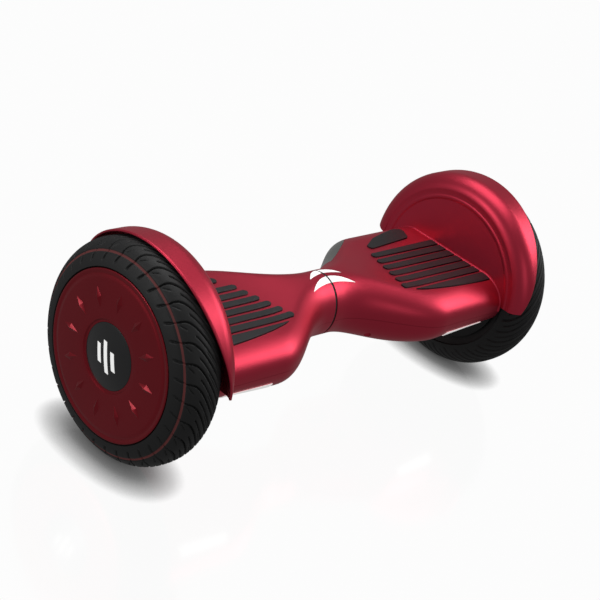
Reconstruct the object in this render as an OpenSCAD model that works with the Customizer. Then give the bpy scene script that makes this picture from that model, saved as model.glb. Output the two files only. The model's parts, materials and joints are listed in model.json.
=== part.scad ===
// Self balancing hoverboard: two mirrored halves that turn against each other on a tube through the waist.
// X runs along the axles, +Y is the front with the headlights, the ground is at z = 0.
// Every sub-part of a half is drawn for the right half (+X) and mirrored for the left half.

/* [Wheels] */
// Outer diameter of a tyre
tyre_d = 254; // [240:1:280]
// Width of a tyre
tyre_w = 70; // [66:1:76]
// Distance between the centre planes of the two tyres
track = 572.8; // [540:0.1:680]
// Thickness of the tyre's carcass
tyre_wall = 5; // [4:0.5:7]
// Outer diameter of the rim's barrel
barrel_d = 152; // [144:1:156]
// Diameter of the decorative hub cap
hub_cap_d = 192.3; // [184:0.1:194]
// Diameter of the badge in the middle of the hub cap
badge_d = 76; // [60:1:90]

/* [Body] */
// Width of the waist across Y
waist_w = 70; // [68:1:80]
// Height of the waist
waist_h = 82; // [80:1:92]
// Width of the deck across Y
deck_w = 195.5; // [190:0.5:240]
// Height of the deck above the axle
deck_rise = 34; // [32:0.5:40]
// Depth of the body below the pivot line, at the deck
deck_drop = 41; // [40:0.5:50]
// Extra depth of the belly between the waist and the fender
belly = 12; // [6:0.5:14]
// Wall of the shells
wall = 3; // [2.4:0.1:3.4]
// Height of the pivot line above the axle
pivot_rise = 4; // [2:0.5:6]
// Gap between the two halves at the waist
waist_gap = 3.2; // [2.6:0.1:4]

/* [Fender] */
// Clear space between the tyre's tread and the fender
fender_gap = 3; // [2.5:0.1:8]
// Clear space between the tyre's sidewall and the fender's disc
sidewall_gap = 3.9; // [3:0.1:8]
// Radius between the disc and the skirt of the fender
fender_round = 22; // [8:0.5:26]
// Angle from the top to each end of the fender
fender_angle = 86; // [70:1:88]
// Reach of the fender's lip past its disc, at the top
lip_reach = 46.5; // [40:0.5:60]

/* [Foot pads] */
// Number of narrow bars on a foot pad
bar_count = 6; // [4:1:6]
// Width of a bar at its tip
bar_w = 8.8; // [6:0.1:9]
// Width of a bar at the fender
bar_end_w = 11.6; // [9:0.1:12]
// Distance from one bar to the next
bar_pitch = 14.8; // [13.2:0.1:15]
// Height of the bars above the deck
bar_proud = 1.6; // [1.5:0.1:2]
// Travel of a foot pad when it is stepped on
pad_travel = 1.5; // [1:0.1:2]
// Space around each bar in its slot
slot_gap = 0.4; // [0.3:0.05:0.6]

/* [Pivot] */
// Outer diameter of the pivot tube
tube_d = 32; // [28:0.5:34]
// Bore of the pivot tube
tube_bore = 26; // [20:0.5:27]
// Length of the pivot tube to each side of the middle
tube_reach = 66; // [64:0.5:70]
// Wall of the bushes in the right half
bush_wall = 3; // [2:0.25:3]
// Angle that the halves turn against each other, each way
twist_limit = 12; // [8:1:15]
// Radial clearance of the running fits
fit = 0.05; // [0.03:0.01:0.08]

/* [Axle and clamp] */
// Diameter of an axle
axle_d = 15; // [14:0.5:16]
// Diameter of an axle's shoulder between the bearings
shoulder_d = 20; // [19:0.5:24]
// Length of the clamp along the axle
clamp_len = 32; // [30:1:34]
// Width of the clamp across the axle
clamp_w = 56; // [54:1:60]
// Diameter of a clamp bolt
bolt_d = 6; // [5:0.5:6]

/* [Hub motor] */
// Outer diameter of a wheel bearing
bearing_d = 32; // [30:0.5:35]
// Width of a wheel bearing
bearing_w = 9; // [8:0.5:10]
// Number of stator teeth
tooth_count = 27; // [18:1:27]
// Number of magnets
magnet_count = 30; // [20:1:32]
// Width of the stator along the axle
stator_w = 24; // [20:1:26]
// Gap between the stator and the magnets
air_gap = 0.7; // [0.5:0.05:1]

/* [Frame] */
// Thickness of the frame's plate
plate_t = 4; // [3:0.5:5]
// Width of the frame's plate
plate_w = 148; // [140:1:150]
// Height of the plate's underside above the axle
plate_rise = 6; // [5.5:0.5:7]
// Depth of the frame's side rails below the plate
rail_h = 12; // [8:0.5:16]

/* [Electrics] */
// Length of the battery pack
battery_len = 120; // [100:1:120]
// Width of the battery pack
battery_w = 88; // [70:1:92]
// Height of the battery pack
battery_h = 34.5; // [30:0.5:34.5]
// Diameter of the power button
button_d = 14; // [10:0.5:16]
// Travel of the power button
button_travel = 1; // [0.5:0.1:1.5]
// Bore of the charge port
port_bore = 12; // [11:0.5:14]
// Distance of the port and the button from the middle plane of the board
port_y = 22; // [20:0.5:26]

/* [Hidden] */

// Colours
shell_red = "#a22839";
cap_red = "#6d1822";
rubber_black = "#1c1c1e";
pad_grey = "#303132";
smoke = "#6b6e6a";
light_white = "#f4f4f2";
cast_grey = "#9a9da1";
steel = "#8d9094";
board_green = "#1f5a38";
copper = "#b4692f";
pack_blue = "#27486f";

// Shared heights and places
tiny = 0.01;
big = 400;
left = -1;
right = 1;
side_gap = 0.3;
round_facets = 72;
screw_facets = 24;
wheel_x = track / 2;
axle_z = tyre_d / 2;
pivot_z = axle_z + pivot_rise;
deck_z = axle_z + deck_rise;
parting_z = axle_z - 2.5;
waist_face = waist_gap / 2;
disc_out = wheel_x - tyre_w / 2 - sidewall_gap;
disc_in = disc_out - wall;
cavity_end = disc_out - wall;
fender_r = tyre_d / 2 + fender_gap + wall;
plate_z = axle_z + plate_rise;
plate_top = plate_z + plate_t;
plate_end = disc_in - 8;

// Body sections
flare_start = 12;
flare_end = 141;
crown_start = 10;
crown_end = 130;
deck_shoulder = 39.3;
belly_x = 98;
belly_start = 15;
belly_end = 252;
round_power = 2;
deck_power = 2.2;
floor_power = 2.6;
section_steps = 40;
station_count = 14;
station_spread = 1.4;

// Tyre section
tread_power = 2.45;
crown_h = 50;
tread_turn = 20;
hollow_turn = 35;
bead_in = 18;
bead_out = 24.2;
bead_top = 92;

// Rim and motor
barrel_wall = 6;
flange_d = barrel_d + 22;
flange_t = 3;
face_in = 19;
face_out = 23;
lip_in = -23;
lip_out = -19;
boss_wall = 4;
outer_bearing = 14;
inner_bearing = -30;
magnet_t = 3;
magnet_w = 26;
screw_circle = barrel_d / 2 - barrel_wall - 2.6;
cover_screw_d = 4;
cover_screw_count = 6;
magnet_r = barrel_d / 2 - barrel_wall - 2 * magnet_t;
stator_r = magnet_r - air_gap;
tooth_w = 4;
tooth_root = 46;
tooth_tip = 3;
coil_w = 9;
coil_end = 4;

// Hub cap
cap_face = 32.25;
cap_t = 2.5;
cap_chamfer = 2.4;
cap_rib_d = 166;
emboss_count = 12;
emboss_r = 65;
emboss_len = 17;
emboss_w = 13;
emboss_h = 0.8;
badge_h = 3.5;

// Foot pad
first_bar_y = 25.5;
first_bar_tip = 119;
bar_step = 4.6;
bar_end = disc_in - 3.5;
mat_t = 2.8;
mat_top = deck_z - wall - side_gap;
mat_half = 61;
front_cap_corners = [[138, 45.5, 5], [159, 57.5, 4], [212, 66, 9], [209, 53, 6]];
crescent_tip = [112, -58.5];
crescent_bulge = [150, -71];
crescent_back = -73;
peg_d = 8;
peg_y = 40;
peg_x = 175;

// Screws that join the shells
screw_places = [[64, 42.5], [150, 84], [228, 84]];
column_r = 6.5;
bore_r = 4.2;
seat_z = axle_z - 15;
head_r = 3.8;
head_h = 2.5;
shank_r = 1.6;
pilot_r = 1.7;
shank_top = axle_z + 7;

// Pivot
boss_r = 25;
left_boss_end = 1.5;
bush_start = 4;
bush_len = 18;
boss_end = 62;
boss_back = 34;
relief_r = 22;
pin_r = 3;
pin_x = 33;
pin_top = 22.5;
slot_half = twist_limit + asin(pin_r / (tube_d / 2 + bush_wall)) + 1;
ring_t = 2;
ring_gap = 0.4;
groove_r = tube_d / 2 - 1;
ring_r = 20.5;

// Electrics
sensor_z = plate_top + 8;
board_t = 1.6;
sensor_x = 122;
sensor_len = 98;
sensor_w = 116;
lamp_z = plate_top + 7;
lamp_x = 84;
lamp_y = 38;
lamp_len = 36;
lamp_w = 22;
battery_x = 84;
battery_top = plate_z - 1.5;
battery_floor = battery_top - battery_h;
strap_t = 1.5;
strap_x = 134;
strap_w = 20;
main_x = 80;
main_len = 88;
main_w = 76;
main_z = plate_z - 21;
flange_r = 11;
flange_h = 2.2;
port_depth = 11;
port_x = 105;
hinge_x = port_x - 14;
cap_r = 11.5;
housing_r = 9.5;
housing_h = 15;

// Smooth step from 0 to 1
function smooth(t) = let (u = min(max(t, 0), 1)) u * u * (3 - 2 * u);
function mix(a, b, t) = a + (b - a) * t;
function signed_power(v, p) = sign(v) * pow(abs(v), p);
function bezier(a, b, c, n) = [for (i = [0:n]) let (t = i / n)
    a * (1 - t) * (1 - t) + b * 2 * t * (1 - t) + c * t * t];

// Body outline along X
function flare(x) = smooth((x - flare_start) / (flare_end - flare_start));
function half_w(x) = mix(waist_w / 2, deck_w / 2, flare(x));
function crown_z(x) = mix(pivot_z + waist_h / 2, deck_z, smooth((x - crown_start) / (crown_end - crown_start)));
function shoulder(x) = mix(waist_h / 2, deck_shoulder, flare(x));
function belly_share(x) = smooth((x - belly_start) / (belly_x - belly_start))
    * smooth((belly_end - x) / (belly_end - belly_x));
function drop(x) = mix(waist_h / 2, deck_drop, flare(x)) + belly * belly_share(x);

// Heights at the charge port and the button
floor_z = pivot_z - drop(port_x);
recess_z = floor_z + 1.2;
hinge_z = recess_z - 3.5;

// Cross section of the body at x, moved inward by inset, as [y, z] points
function section(x, inset) = [for (i = [0:section_steps - 1])
    let (
        a = 360 * i / section_steps,
        upper = sin(a) >= 0,
        p = 2 / mix(round_power, upper ? deck_power : floor_power, flare(x)),
        h = (upper ? shoulder(x) : drop(x)) - inset,
        y = (half_w(x) - inset) * signed_power(cos(a), p),
        z = pivot_z + h * signed_power(sin(a), p)
    )
    [y, min(z, crown_z(x) - inset)]];

// Place of station i between a and b, closer together near the waist
function station(i, a, b) = a + (b - a) * pow(i / station_count, station_spread);

// Lip of the fender: X position at height z
function lip_share(z) = min(max((z - axle_z) / fender_r, 0), 1);
function lip_x(z) = let (u = lip_share(z)) disc_in + 4.5 + (lip_reach - 4.5) * (0.65 * u + 0.35 * sin(90 * u));

// Points on the tyre's section, moved inward by inset
function tyre_point(a, inset) = [
    tyre_d / 2 - crown_h + (crown_h - inset) * signed_power(sin(a), 2 / tread_power),
    (tyre_w / 2 - inset) * signed_power(cos(a), 2 / tread_power)
];
function tyre_arc(inset, turn) = [for (a = [turn:5:180 - turn]) tyre_point(a, inset)];
function reversed(list) = [for (i = [len(list) - 1:-1:0]) list[i]];

module half(side) {
    mirror([side < 0 ? 1 : 0, 0, 0]) children();
}

// Axis of the wheel: local z runs outward from the tyre's centre plane
module at_wheel() {
    translate([wheel_x, 0, axle_z]) rotate([0, 90, 0]) children();
}

// Cylinder along X between two places on the line at height z
module rod(x0, x1, r, z) {
    translate([x0, 0, z]) rotate([0, 90, 0]) cylinder(h = x1 - x0, r = r, $fn = round_facets);
}

module slab(x0, x1, y0, y1, z0, z1) {
    translate([x0, y0, z0]) cube([x1 - x0, y1 - y0, z1 - z0]);
}

// Solid between two cross sections
module segment(x0, x1, inset) {
    n = section_steps;
    ends = [[x0, section(x0, inset)], [x1, section(x1, inset)]];
    hull() polyhedron(
        points = [for (e = ends, p = e[1]) [e[0], p[0], p[1]]],
        faces = concat(
            [[for (i = [0:n - 1]) i], [for (i = [n - 1:-1:0]) n + i]],
            [for (i = [0:n - 1]) let (j = (i + 1) % n) [i, i + n, j + n, j]]
        )
    );
}

// Solid body between a and b, moved inward by inset
module body_form(a, b, inset) {
    for (i = [0:station_count - 1]) segment(station(i, a, b), station(i + 1, a, b), inset);
}

module outer_form() {
    body_form(waist_face, disc_out, 0);
}

module cavity() {
    body_form(0, cavity_end, wall);
}

module above_parting() {
    translate([-big, -big, parting_z]) cube(2 * big);
}

module below_parting() {
    translate([-big, -big, parting_z - 2 * big]) cube(2 * big);
}

module skin() {
    difference() {
        outer_form();
        cavity();
    }
}

// Both Y sides of each screw place
module at_screws() {
    for (p = screw_places, s = [-1, 1]) translate([p[0], s * p[1], 0]) children();
}

module fender_profile() {
    arc = [for (a = [0:15:90]) a];
    centre_r = fender_r - fender_round;
    centre_x = disc_in + fender_round;
    polygon(concat(
        [[relief_r, disc_in]],
        [for (a = arc) [centre_r + fender_round * sin(a), centre_x - fender_round * cos(a)]],
        [[fender_r, disc_in + lip_reach + 2], [fender_r - wall, disc_in + lip_reach + 2]],
        [for (a = reversed(arc))
            [centre_r + (fender_round - wall) * sin(a), centre_x - (fender_round - wall) * cos(a)]],
        [[relief_r, disc_out]]
    ));
}

module fender_side_view() {
    lip_steps = 16;
    polygon(concat(
        [[0, axle_z - relief_r]],
        [for (i = [0:lip_steps]) let (z = axle_z + (fender_r + 1) * i / lip_steps) [lip_x(z), z]],
        [[0, axle_z + fender_r + 1]]
    ));
}

module fender() {
    intersection() {
        translate([0, 0, axle_z]) rotate([0, 90, 0]) rotate([0, 0, 180 - fender_angle])
            rotate_extrude(angle = 2 * fender_angle, $fn = 120) fender_profile();
        rotate([90, 0, 0]) linear_extrude(big, center = true) fender_side_view();
    }
}

// Outlines of the foot pad, each grown by grow
function bar_y(i) = first_bar_y - bar_pitch * i;
function bar_tip(i) = first_bar_tip - bar_step * i + bar_w / 2;
function bar_sides(i, grow) = let (y = bar_y(i), w0 = bar_w / 2 + grow, w1 = bar_end_w / 2 + grow)
    [[bar_tip(i), y - w0], [bar_end + grow, y - w1], [bar_end + grow, y + w1], [bar_tip(i), y + w0]];

module bar_outline(i, grow) {
    polygon(bar_sides(i, grow));
    translate([bar_tip(i), bar_y(i)]) circle(r = bar_w / 2 + grow, $fn = screw_facets);
}

module front_cap_outline(grow) {
    hull() {
        for (c = front_cap_corners) translate([c[0], c[1]]) circle(r = c[2] + grow, $fn = screw_facets);
    }
}

module crescent_outline(grow) {
    offset(delta = grow) polygon(concat(
        bezier(crescent_tip, crescent_bulge, [bar_end, crescent_back], 10),
        [[bar_end, crescent_tip[1]]]
    ));
}

module slots() {
    translate([0, 0, mat_top - wall]) linear_extrude(big) {
        for (i = [0:bar_count - 1]) bar_outline(i, slot_gap);
        front_cap_outline(slot_gap);
        crescent_outline(slot_gap);
    }
}

module foot_pad() {
    z0 = mat_top - mat_t / 2;
    h = deck_z + bar_proud - z0;
    color(pad_grey) {
        for (i = [0:bar_count - 1]) {
            translate([0, 0, z0]) linear_extrude(h) polygon(bar_sides(i, 0));
            translate([bar_tip(i), bar_y(i), z0]) cylinder(h = h, d = bar_w, $fn = screw_facets);
        }
        translate([0, 0, z0]) linear_extrude(h) front_cap_outline(0);
        translate([0, 0, z0]) linear_extrude(h) crescent_outline(0);
        translate([0, 0, mat_top - mat_t]) linear_extrude(mat_t)
            polygon([[100, -50], [122, 30], [140, mat_half], [bar_end + 2, mat_half],
                [bar_end + 2, -mat_half], [126, -58]]);
        for (s = [-1, 1]) translate([peg_x, s * peg_y, sensor_z + board_t + pad_travel + 1])
            cylinder(h = mat_top - mat_t / 2 - sensor_z - board_t - pad_travel - 1, d = peg_d, $fn = screw_facets);
    }
}

// Outline of the headlight lens, seen from above
module headlight_outline() {
    polygon(concat(
        bezier([54, 36], [86, 52], [128, 82], 8),
        [[128, 130], [40, 130], [48, 46]]
    ));
}

module headlight_block() {
    translate([0, 0, pivot_z + 6]) linear_extrude(big) headlight_outline();
}

// Curved stripe from the waist to its tip, seen from above
module stripe_outline(front, front_bend, tip, back_bend, back) {
    polygon(concat(bezier(front, front_bend, tip, 8), bezier(tip, back_bend, back, 8)));
}

module indicator_block() {
    translate([0, 0, pivot_z + 10]) linear_extrude(big) {
        stripe_outline([0, 12], [14, 11], [27, -4.5], [13, 0.5], [0, 2.2]);
        stripe_outline([0, -5.5], [18, -6], [36.5, -22.5], [18, -15], [0, -15.5]);
    }
}

module edge_strip_block() {
    strip_z = parting_z - 22;
    slab(disc_in - 92, disc_in - 22, -deck_w / 2, -deck_w / 2 + 20, strip_z, strip_z + 8);
}

module upper_shell() {
    color(shell_red) difference() {
        union() {
            intersection() {
                skin();
                above_parting();
            }
            intersection() {
                outer_form();
                union() {
                    at_screws() translate([0, 0, parting_z]) cylinder(h = big, r = column_r, $fn = screw_facets);
                    for (s = [-1, 1]) translate([lamp_x + 3, s * 30, plate_top])
                        cylinder(h = big, r = 4, $fn = screw_facets);
                }
            }
            fender();
        }
        at_screws() translate([0, 0, parting_z - 1])
            cylinder(h = shank_top + 2 - parting_z, r = pilot_r, $fn = screw_facets);
        rod(cavity_end - 2, disc_out + 1, relief_r, axle_z);
        slots();
        headlight_block();
        indicator_block();
    }
}

module lower_shell(side) {
    color(shell_red) difference() {
        union() {
            intersection() {
                skin();
                below_parting();
            }
            intersection() {
                outer_form();
                below_parting();
                union() {
                    at_screws() translate([0, 0, floor_z]) cylinder(h = big, r = column_r, $fn = screw_facets);
                    for (x = [battery_x + 20, battery_x + battery_len - 50])
                        slab(x, x + wall, -battery_w / 2, battery_w / 2, 0, battery_floor);
                    for (s = [-1, 1])
                        slab(108, plate_end, s * 64 - wall / 2, s * 64 + wall / 2, 0, plate_z - rail_h);
                }
            }
        }
        at_screws() {
            cylinder(h = seat_z, r = bore_r, $fn = screw_facets);
            cylinder(h = parting_z + 1, r = pilot_r, $fn = screw_facets);
        }
        rod(cavity_end - 2, disc_out + 1, relief_r, axle_z);
        edge_strip_block();
        if (side == right) for (s = [-1, 1]) translate([port_x, s * port_y, 0]) {
            cylinder(h = recess_z, r = flange_r + side_gap, $fn = round_facets);
            cylinder(h = battery_floor + 1, r = housing_r + side_gap, $fn = round_facets);
        }
    }
}

module headlight_lens() {
    color(smoke) intersection() {
        skin();
        headlight_block();
    }
}

module indicator_windows() {
    color(light_white) intersection() {
        skin();
        indicator_block();
    }
}

module edge_strip() {
    color(light_white) intersection() {
        skin();
        edge_strip_block();
    }
}

module shell_screws() {
    color(steel) at_screws() {
        translate([0, 0, seat_z - head_h]) cylinder(h = head_h, r = head_r, $fn = screw_facets);
        translate([0, 0, seat_z - tiny]) cylinder(h = shank_top - seat_z, r = shank_r, $fn = screw_facets);
    }
}

// Places of the four clamp bolts
module at_bolts() {
    for (x = [-1, 1], y = [-1, 1])
        translate([plate_end - clamp_len / 2 + x * (clamp_len / 2 - 7), y * (clamp_w / 2 - 9), 0]) children();
}

module frame(side) {
    bore = side == right ? tube_d / 2 + bush_wall : tube_d / 2;
    start = side == right ? bush_start : left_boss_end;
    color(cast_grey) difference() {
        union() {
            rod(start, boss_end, boss_r, pivot_z);
            slab(boss_end - 16, boss_end, -boss_back, boss_back, pivot_z - boss_r + 8, plate_top);
            translate([0, 0, plate_z]) linear_extrude(plate_t)
                polygon([[boss_end - 16, -boss_back], [80, -boss_back], [106, -plate_w / 2], [plate_end, -plate_w / 2],
                    [plate_end, plate_w / 2], [106, plate_w / 2], [80, boss_back], [boss_end - 16, boss_back]]);
            for (s = [-1, 1]) slab(108, plate_end, s * 64 - 4, s * 64 + 4, plate_z - rail_h, plate_z);
            slab(plate_end - clamp_len, plate_end, -clamp_w / 2, clamp_w / 2, axle_z, plate_z);
            for (x = [sensor_x + 6, sensor_x + sensor_len - 6], y = [-1, 1])
                translate([x, y * (sensor_w / 2 - 10), plate_top - 1])
                    cylinder(h = sensor_z - plate_top + 1, r = 3.5, $fn = screw_facets);
            for (x = [lamp_x + 8, lamp_x + lamp_len - 6]) translate([x, lamp_y + lamp_w / 2, plate_top - 1])
                cylinder(h = lamp_z - plate_top + 1, r = 3, $fn = screw_facets);
            if (side == right) for (x = [main_x + 6, main_x + main_len - 6], y = [-1, 1])
                translate([x, y * (main_w / 2 - 6), main_z + board_t])
                    cylinder(h = plate_z - main_z - board_t + 1, r = 3, $fn = screw_facets);
        }
        rod(0, boss_end + 1, bore, pivot_z);
        rod(boss_end, boss_end + 12, relief_r, pivot_z);
        rod(plate_end - clamp_len - 12, plate_end + 1, axle_d / 2, axle_z);
        at_bolts() translate([0, 0, axle_z - 1]) cylinder(h = plate_rise + 3, d = bolt_d, $fn = screw_facets);
        if (side == right) translate([0, 0, pivot_z]) rotate([0, 90, 0]) translate([0, 0, pin_x - pin_r - side_gap])
            rotate([0, 0, 180 - slot_half]) rotate_extrude(angle = 2 * slot_half, $fn = round_facets)
                translate([tube_d / 2, 0]) square([boss_r, 2 * (pin_r + side_gap)]);
    }
}

module axle_clamp() {
    clamp_z = axle_z - 16;
    color(cast_grey) difference() {
        slab(plate_end - clamp_len, plate_end, -clamp_w / 2, clamp_w / 2, clamp_z, axle_z - 0.6);
        rod(plate_end - clamp_len - 1, plate_end + 1, axle_d / 2, axle_z);
        at_bolts() cylinder(h = axle_z, d = bolt_d + 0.4, $fn = screw_facets);
    }
}

module clamp_bolts() {
    clamp_z = axle_z - 16;
    color(steel) at_bolts() difference() {
        union() {
            translate([0, 0, clamp_z - bolt_d]) cylinder(h = bolt_d, d = 1.6 * bolt_d, $fn = screw_facets);
            translate([0, 0, clamp_z - 1]) cylinder(h = 16 + plate_rise + 2, d = bolt_d, $fn = screw_facets);
        }
        translate([0, 0, clamp_z - bolt_d - 1]) cylinder(h = bolt_d / 2 + 1, d = 0.9 * bolt_d, $fn = 6);
    }
}

module sensor_board() {
    color(board_green) {
        slab(sensor_x, sensor_x + sensor_len, -sensor_w / 2, sensor_w / 2, sensor_z, sensor_z + board_t);
        slab(sensor_x + 22, sensor_x + 34, -6, 6, sensor_z + board_t, sensor_z + board_t + 2);
        for (s = [-1, 1], d = [-1, 1])
            slab(peg_x - 8, peg_x + 8, s * peg_y + d * 6 - 1.5, s * peg_y + d * 6 + 1.5,
                sensor_z + board_t, sensor_z + board_t + 4);
    }
}

module light_board() {
    lamp_step = 8;
    color(board_green) {
        slab(lamp_x, lamp_x + lamp_len, lamp_y, lamp_y + lamp_w, lamp_z, lamp_z + board_t);
        for (i = [0:3]) translate([lamp_x + 6 + lamp_step * i, lamp_y + lamp_w - 6, lamp_z + board_t])
            cube([3.5, 3.5, 1.5]);
    }
}

module axle() {
    shoulder_out = wheel_x + outer_bearing - side_gap;
    shoulder_in = wheel_x + inner_bearing + bearing_w + side_gap;
    color(steel) {
        rod(plate_end - clamp_len, wheel_x + outer_bearing + bearing_w + 1, axle_d / 2, axle_z);
        rod(shoulder_in, shoulder_out, shoulder_d / 2, axle_z);
    }
}

module stator() {
    web_t = 6;
    hub_r = shoulder_d / 2 + 7;
    ring_in = tooth_root - 8;
    side = tooth_w / 2;
    tip = stator_r * sin(135 / tooth_count);
    corners = [[tooth_root, -side], [stator_r - tooth_tip, -side], [stator_r - 1.2, -tip],
        [stator_r - 0.2, -tip / 2], [stator_r - 0.2, tip / 2], [stator_r - 1.2, tip],
        [stator_r - tooth_tip, side], [tooth_root, side]];
    color(cast_grey) at_wheel() difference() {
        translate([0, 0, -stator_w / 2]) linear_extrude(stator_w)
            polygon([for (i = [0:tooth_count - 1], c = corners) let (a = 360 * i / tooth_count)
                [c[0] * cos(a) - c[1] * sin(a), c[0] * sin(a) + c[1] * cos(a)]]);
        translate([0, 0, -stator_w]) cylinder(h = 2 * stator_w, r = shoulder_d / 2, $fn = round_facets);
        ring(web_t / 2, stator_w, hub_r, ring_in);
        ring(-stator_w, -web_t / 2, hub_r, ring_in);
        for (i = [0:5]) rotate([0, 0, 60 * i]) translate([(hub_r + ring_in) / 2, 0, -web_t])
            cylinder(h = 2 * web_t, r = 7, $fn = screw_facets);
    }
}

module windings() {
    inner_r = tooth_root + 1.5;
    depth = stator_r - tooth_tip - 1 - inner_r;
    span = stator_w + 2 * coil_end;
    gap = 0.1;
    color(copper) at_wheel() for (i = [0:tooth_count - 1]) rotate([0, 0, 360 * i / tooth_count])
        difference() {
            translate([inner_r, -coil_w / 2, -span / 2]) cube([depth, coil_w, span]);
            translate([inner_r - 1, -tooth_w / 2 - gap, -stator_w / 2 - gap])
                cube([depth + 2, tooth_w + 2 * gap, stator_w + 2 * gap]);
        }
}

module ring(z0, z1, r0, r1) {
    translate([0, 0, z0]) difference() {
        cylinder(h = z1 - z0, r = r1, $fn = round_facets);
        translate([0, 0, -1]) cylinder(h = z1 - z0 + 2, r = r0, $fn = round_facets);
    }
}

// Places of the motor cover's screws
module at_cover_screws() {
    for (i = [0:cover_screw_count - 1]) rotate([0, 0, 360 * i / cover_screw_count])
        translate([screw_circle, 0, 0]) children();
}

module rim() {
    barrel_in = barrel_d / 2 - barrel_wall;
    bore = bearing_d / 2;
    boss = bore + boss_wall;
    flange_face = bead_out + flange_t;
    color(cast_grey) at_wheel() difference() {
        rotate_extrude($fn = round_facets) polygon([
            [bore, outer_bearing], [boss, outer_bearing], [boss, face_in], [barrel_in, face_in],
            [barrel_in, lip_out], [magnet_r + 0.3, lip_out], [magnet_r + 0.3, lip_in], [barrel_in, lip_in],
            [barrel_in, -flange_face], [flange_d / 2, -flange_face], [flange_d / 2, -bead_out],
            [barrel_d / 2, -bead_out], [barrel_d / 2, bead_out], [flange_d / 2, bead_out],
            [flange_d / 2, flange_face], [barrel_in, flange_face], [barrel_in, face_out],
            [boss, face_out], [boss, face_out + 1], [bore, face_out + 1]
        ]);
        at_cover_screws() translate([0, 0, lip_in - 1])
            cylinder(h = lip_out - lip_in + 0.5, d = cover_screw_d, $fn = screw_facets);
    }
}

module motor_cover() {
    plate_face = lip_in - 4;
    bore = bearing_d / 2;
    boss = bore + boss_wall;
    color(cast_grey) at_wheel() difference() {
        rotate_extrude($fn = round_facets) polygon([
            [bore, inner_bearing - 1], [boss, inner_bearing - 1], [boss, plate_face],
            [barrel_d / 2 - barrel_wall, plate_face], [barrel_d / 2 - barrel_wall, lip_in],
            [boss, lip_in], [boss, inner_bearing + bearing_w], [bore, inner_bearing + bearing_w]
        ]);
        at_cover_screws() translate([0, 0, plate_face - 1])
            cylinder(h = lip_in - plate_face + 2, d = cover_screw_d, $fn = screw_facets);
    }
}

module cover_screws() {
    plate_face = lip_in - 4;
    color(steel) at_wheel() at_cover_screws() {
        translate([0, 0, plate_face - 1.6]) cylinder(h = 1.6, d = 5.5, $fn = screw_facets);
        translate([0, 0, plate_face - tiny]) cylinder(h = 7, d = cover_screw_d, $fn = screw_facets);
    }
}

module magnet_ring() {
    outer = barrel_d / 2 - barrel_wall;
    fill = 0.82;
    color(steel) at_wheel() {
        ring(-magnet_w / 2, magnet_w / 2, outer - magnet_t, outer);
        for (i = [0:magnet_count - 1]) translate([0, 0, -magnet_w / 2]) rotate([0, 0, 360 * i / magnet_count])
            rotate_extrude(angle = 360 * fill / magnet_count, $fn = 120)
                translate([magnet_r, 0]) square([magnet_t + 0.5, magnet_w]);
    }
}

module wheel_bearings() {
    color(steel) at_wheel() for (z = [inner_bearing, outer_bearing])
        ring(z, z + bearing_w, axle_d / 2 + fit, bearing_d / 2);
}

module tyre() {
    bead_r = barrel_d / 2;
    seat_r = hub_cap_d / 2 + 0.8;
    color(rubber_black) at_wheel() rotate_extrude($fn = 120) polygon(concat(
        tyre_arc(0, tread_turn),
        [[seat_r, -cap_face + cap_t + 0.5], [bead_top - 4, -bead_out], [bead_r, -bead_out], [bead_r, -bead_in],
            [bead_top, -bead_in]],
        reversed(tyre_arc(tyre_wall, hollow_turn)),
        [[bead_top, bead_in], [bead_r, bead_in], [bead_r, bead_out], [bead_top - 4, bead_out],
            [seat_r, cap_face - cap_t - 0.5]]
    ));
}

module emboss() {
    tip = emboss_r + emboss_len * 0.62;
    base = emboss_r - emboss_len * 0.38;
    translate([0, 0, cap_face - tiny]) linear_extrude(emboss_h)
        polygon([[tip, -emboss_w * 0.2], [base + 4, emboss_w / 2], [base, -emboss_w / 2]]);
}

module hub_cap() {
    r = hub_cap_d / 2;
    back = cap_face - cap_t;
    color(cap_red) at_wheel() {
        rotate_extrude($fn = 120) polygon([[0, back], [r, back], [r, cap_face - cap_chamfer],
            [r - cap_chamfer, cap_face], [0, cap_face]]);
        ring(bead_out + flange_t, back + tiny, cap_rib_d / 2 - 2, cap_rib_d / 2);
        ring(face_out, back + tiny, 34, 36);
        for (i = [0:emboss_count - 1]) rotate([0, 0, 360 * i / emboss_count]) emboss();
    }
}

module hub_badge() {
    r = badge_d / 2;
    curve_r = (r * r + badge_h * badge_h) / (2 * badge_h);
    edge = asin(r / curve_r);
    color(rubber_black) at_wheel() translate([0, 0, cap_face + badge_h - curve_r]) rotate_extrude($fn = 120)
        polygon(concat(
            [for (i = [0:12]) let (a = edge * i / 12) [curve_r * sin(a), curve_r * cos(a)]],
            [[0, curve_r - badge_h]]
        ));
}

module pivot_tube() {
    color(steel) difference() {
        rod(-boss_end, tube_reach, tube_d / 2, pivot_z);
        rod(-tube_reach, tube_reach + 1, tube_bore / 2, pivot_z);
        translate([pin_x, 0, pivot_z]) cylinder(h = tube_d, r = pin_r, $fn = screw_facets);
        translate([0, 0, pivot_z]) rotate([0, 90, 0])
            ring(boss_end + ring_gap, boss_end + ring_gap + ring_t, groove_r, tube_d);
    }
}

module pivot_bushes() {
    color(copper) translate([0, 0, pivot_z]) rotate([0, 90, 0]) {
        ring(bush_start, bush_start + bush_len, tube_d / 2 + fit, tube_d / 2 + bush_wall);
        ring(-left_boss_end + side_gap, bush_start, tube_d / 2 + fit, tube_d / 2 + bush_wall + 3);
        ring(boss_end - bush_len, boss_end, tube_d / 2 + fit, tube_d / 2 + bush_wall);
    }
}

module pivot_retainer() {
    color(steel) translate([0, 0, pivot_z]) rotate([0, 90, 0]) difference() {
        ring(boss_end + ring_gap, boss_end + ring_gap + ring_t, groove_r + fit, ring_r);
        translate([-3, 0, boss_end]) cube([6, big, 4]);
    }
}

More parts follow.
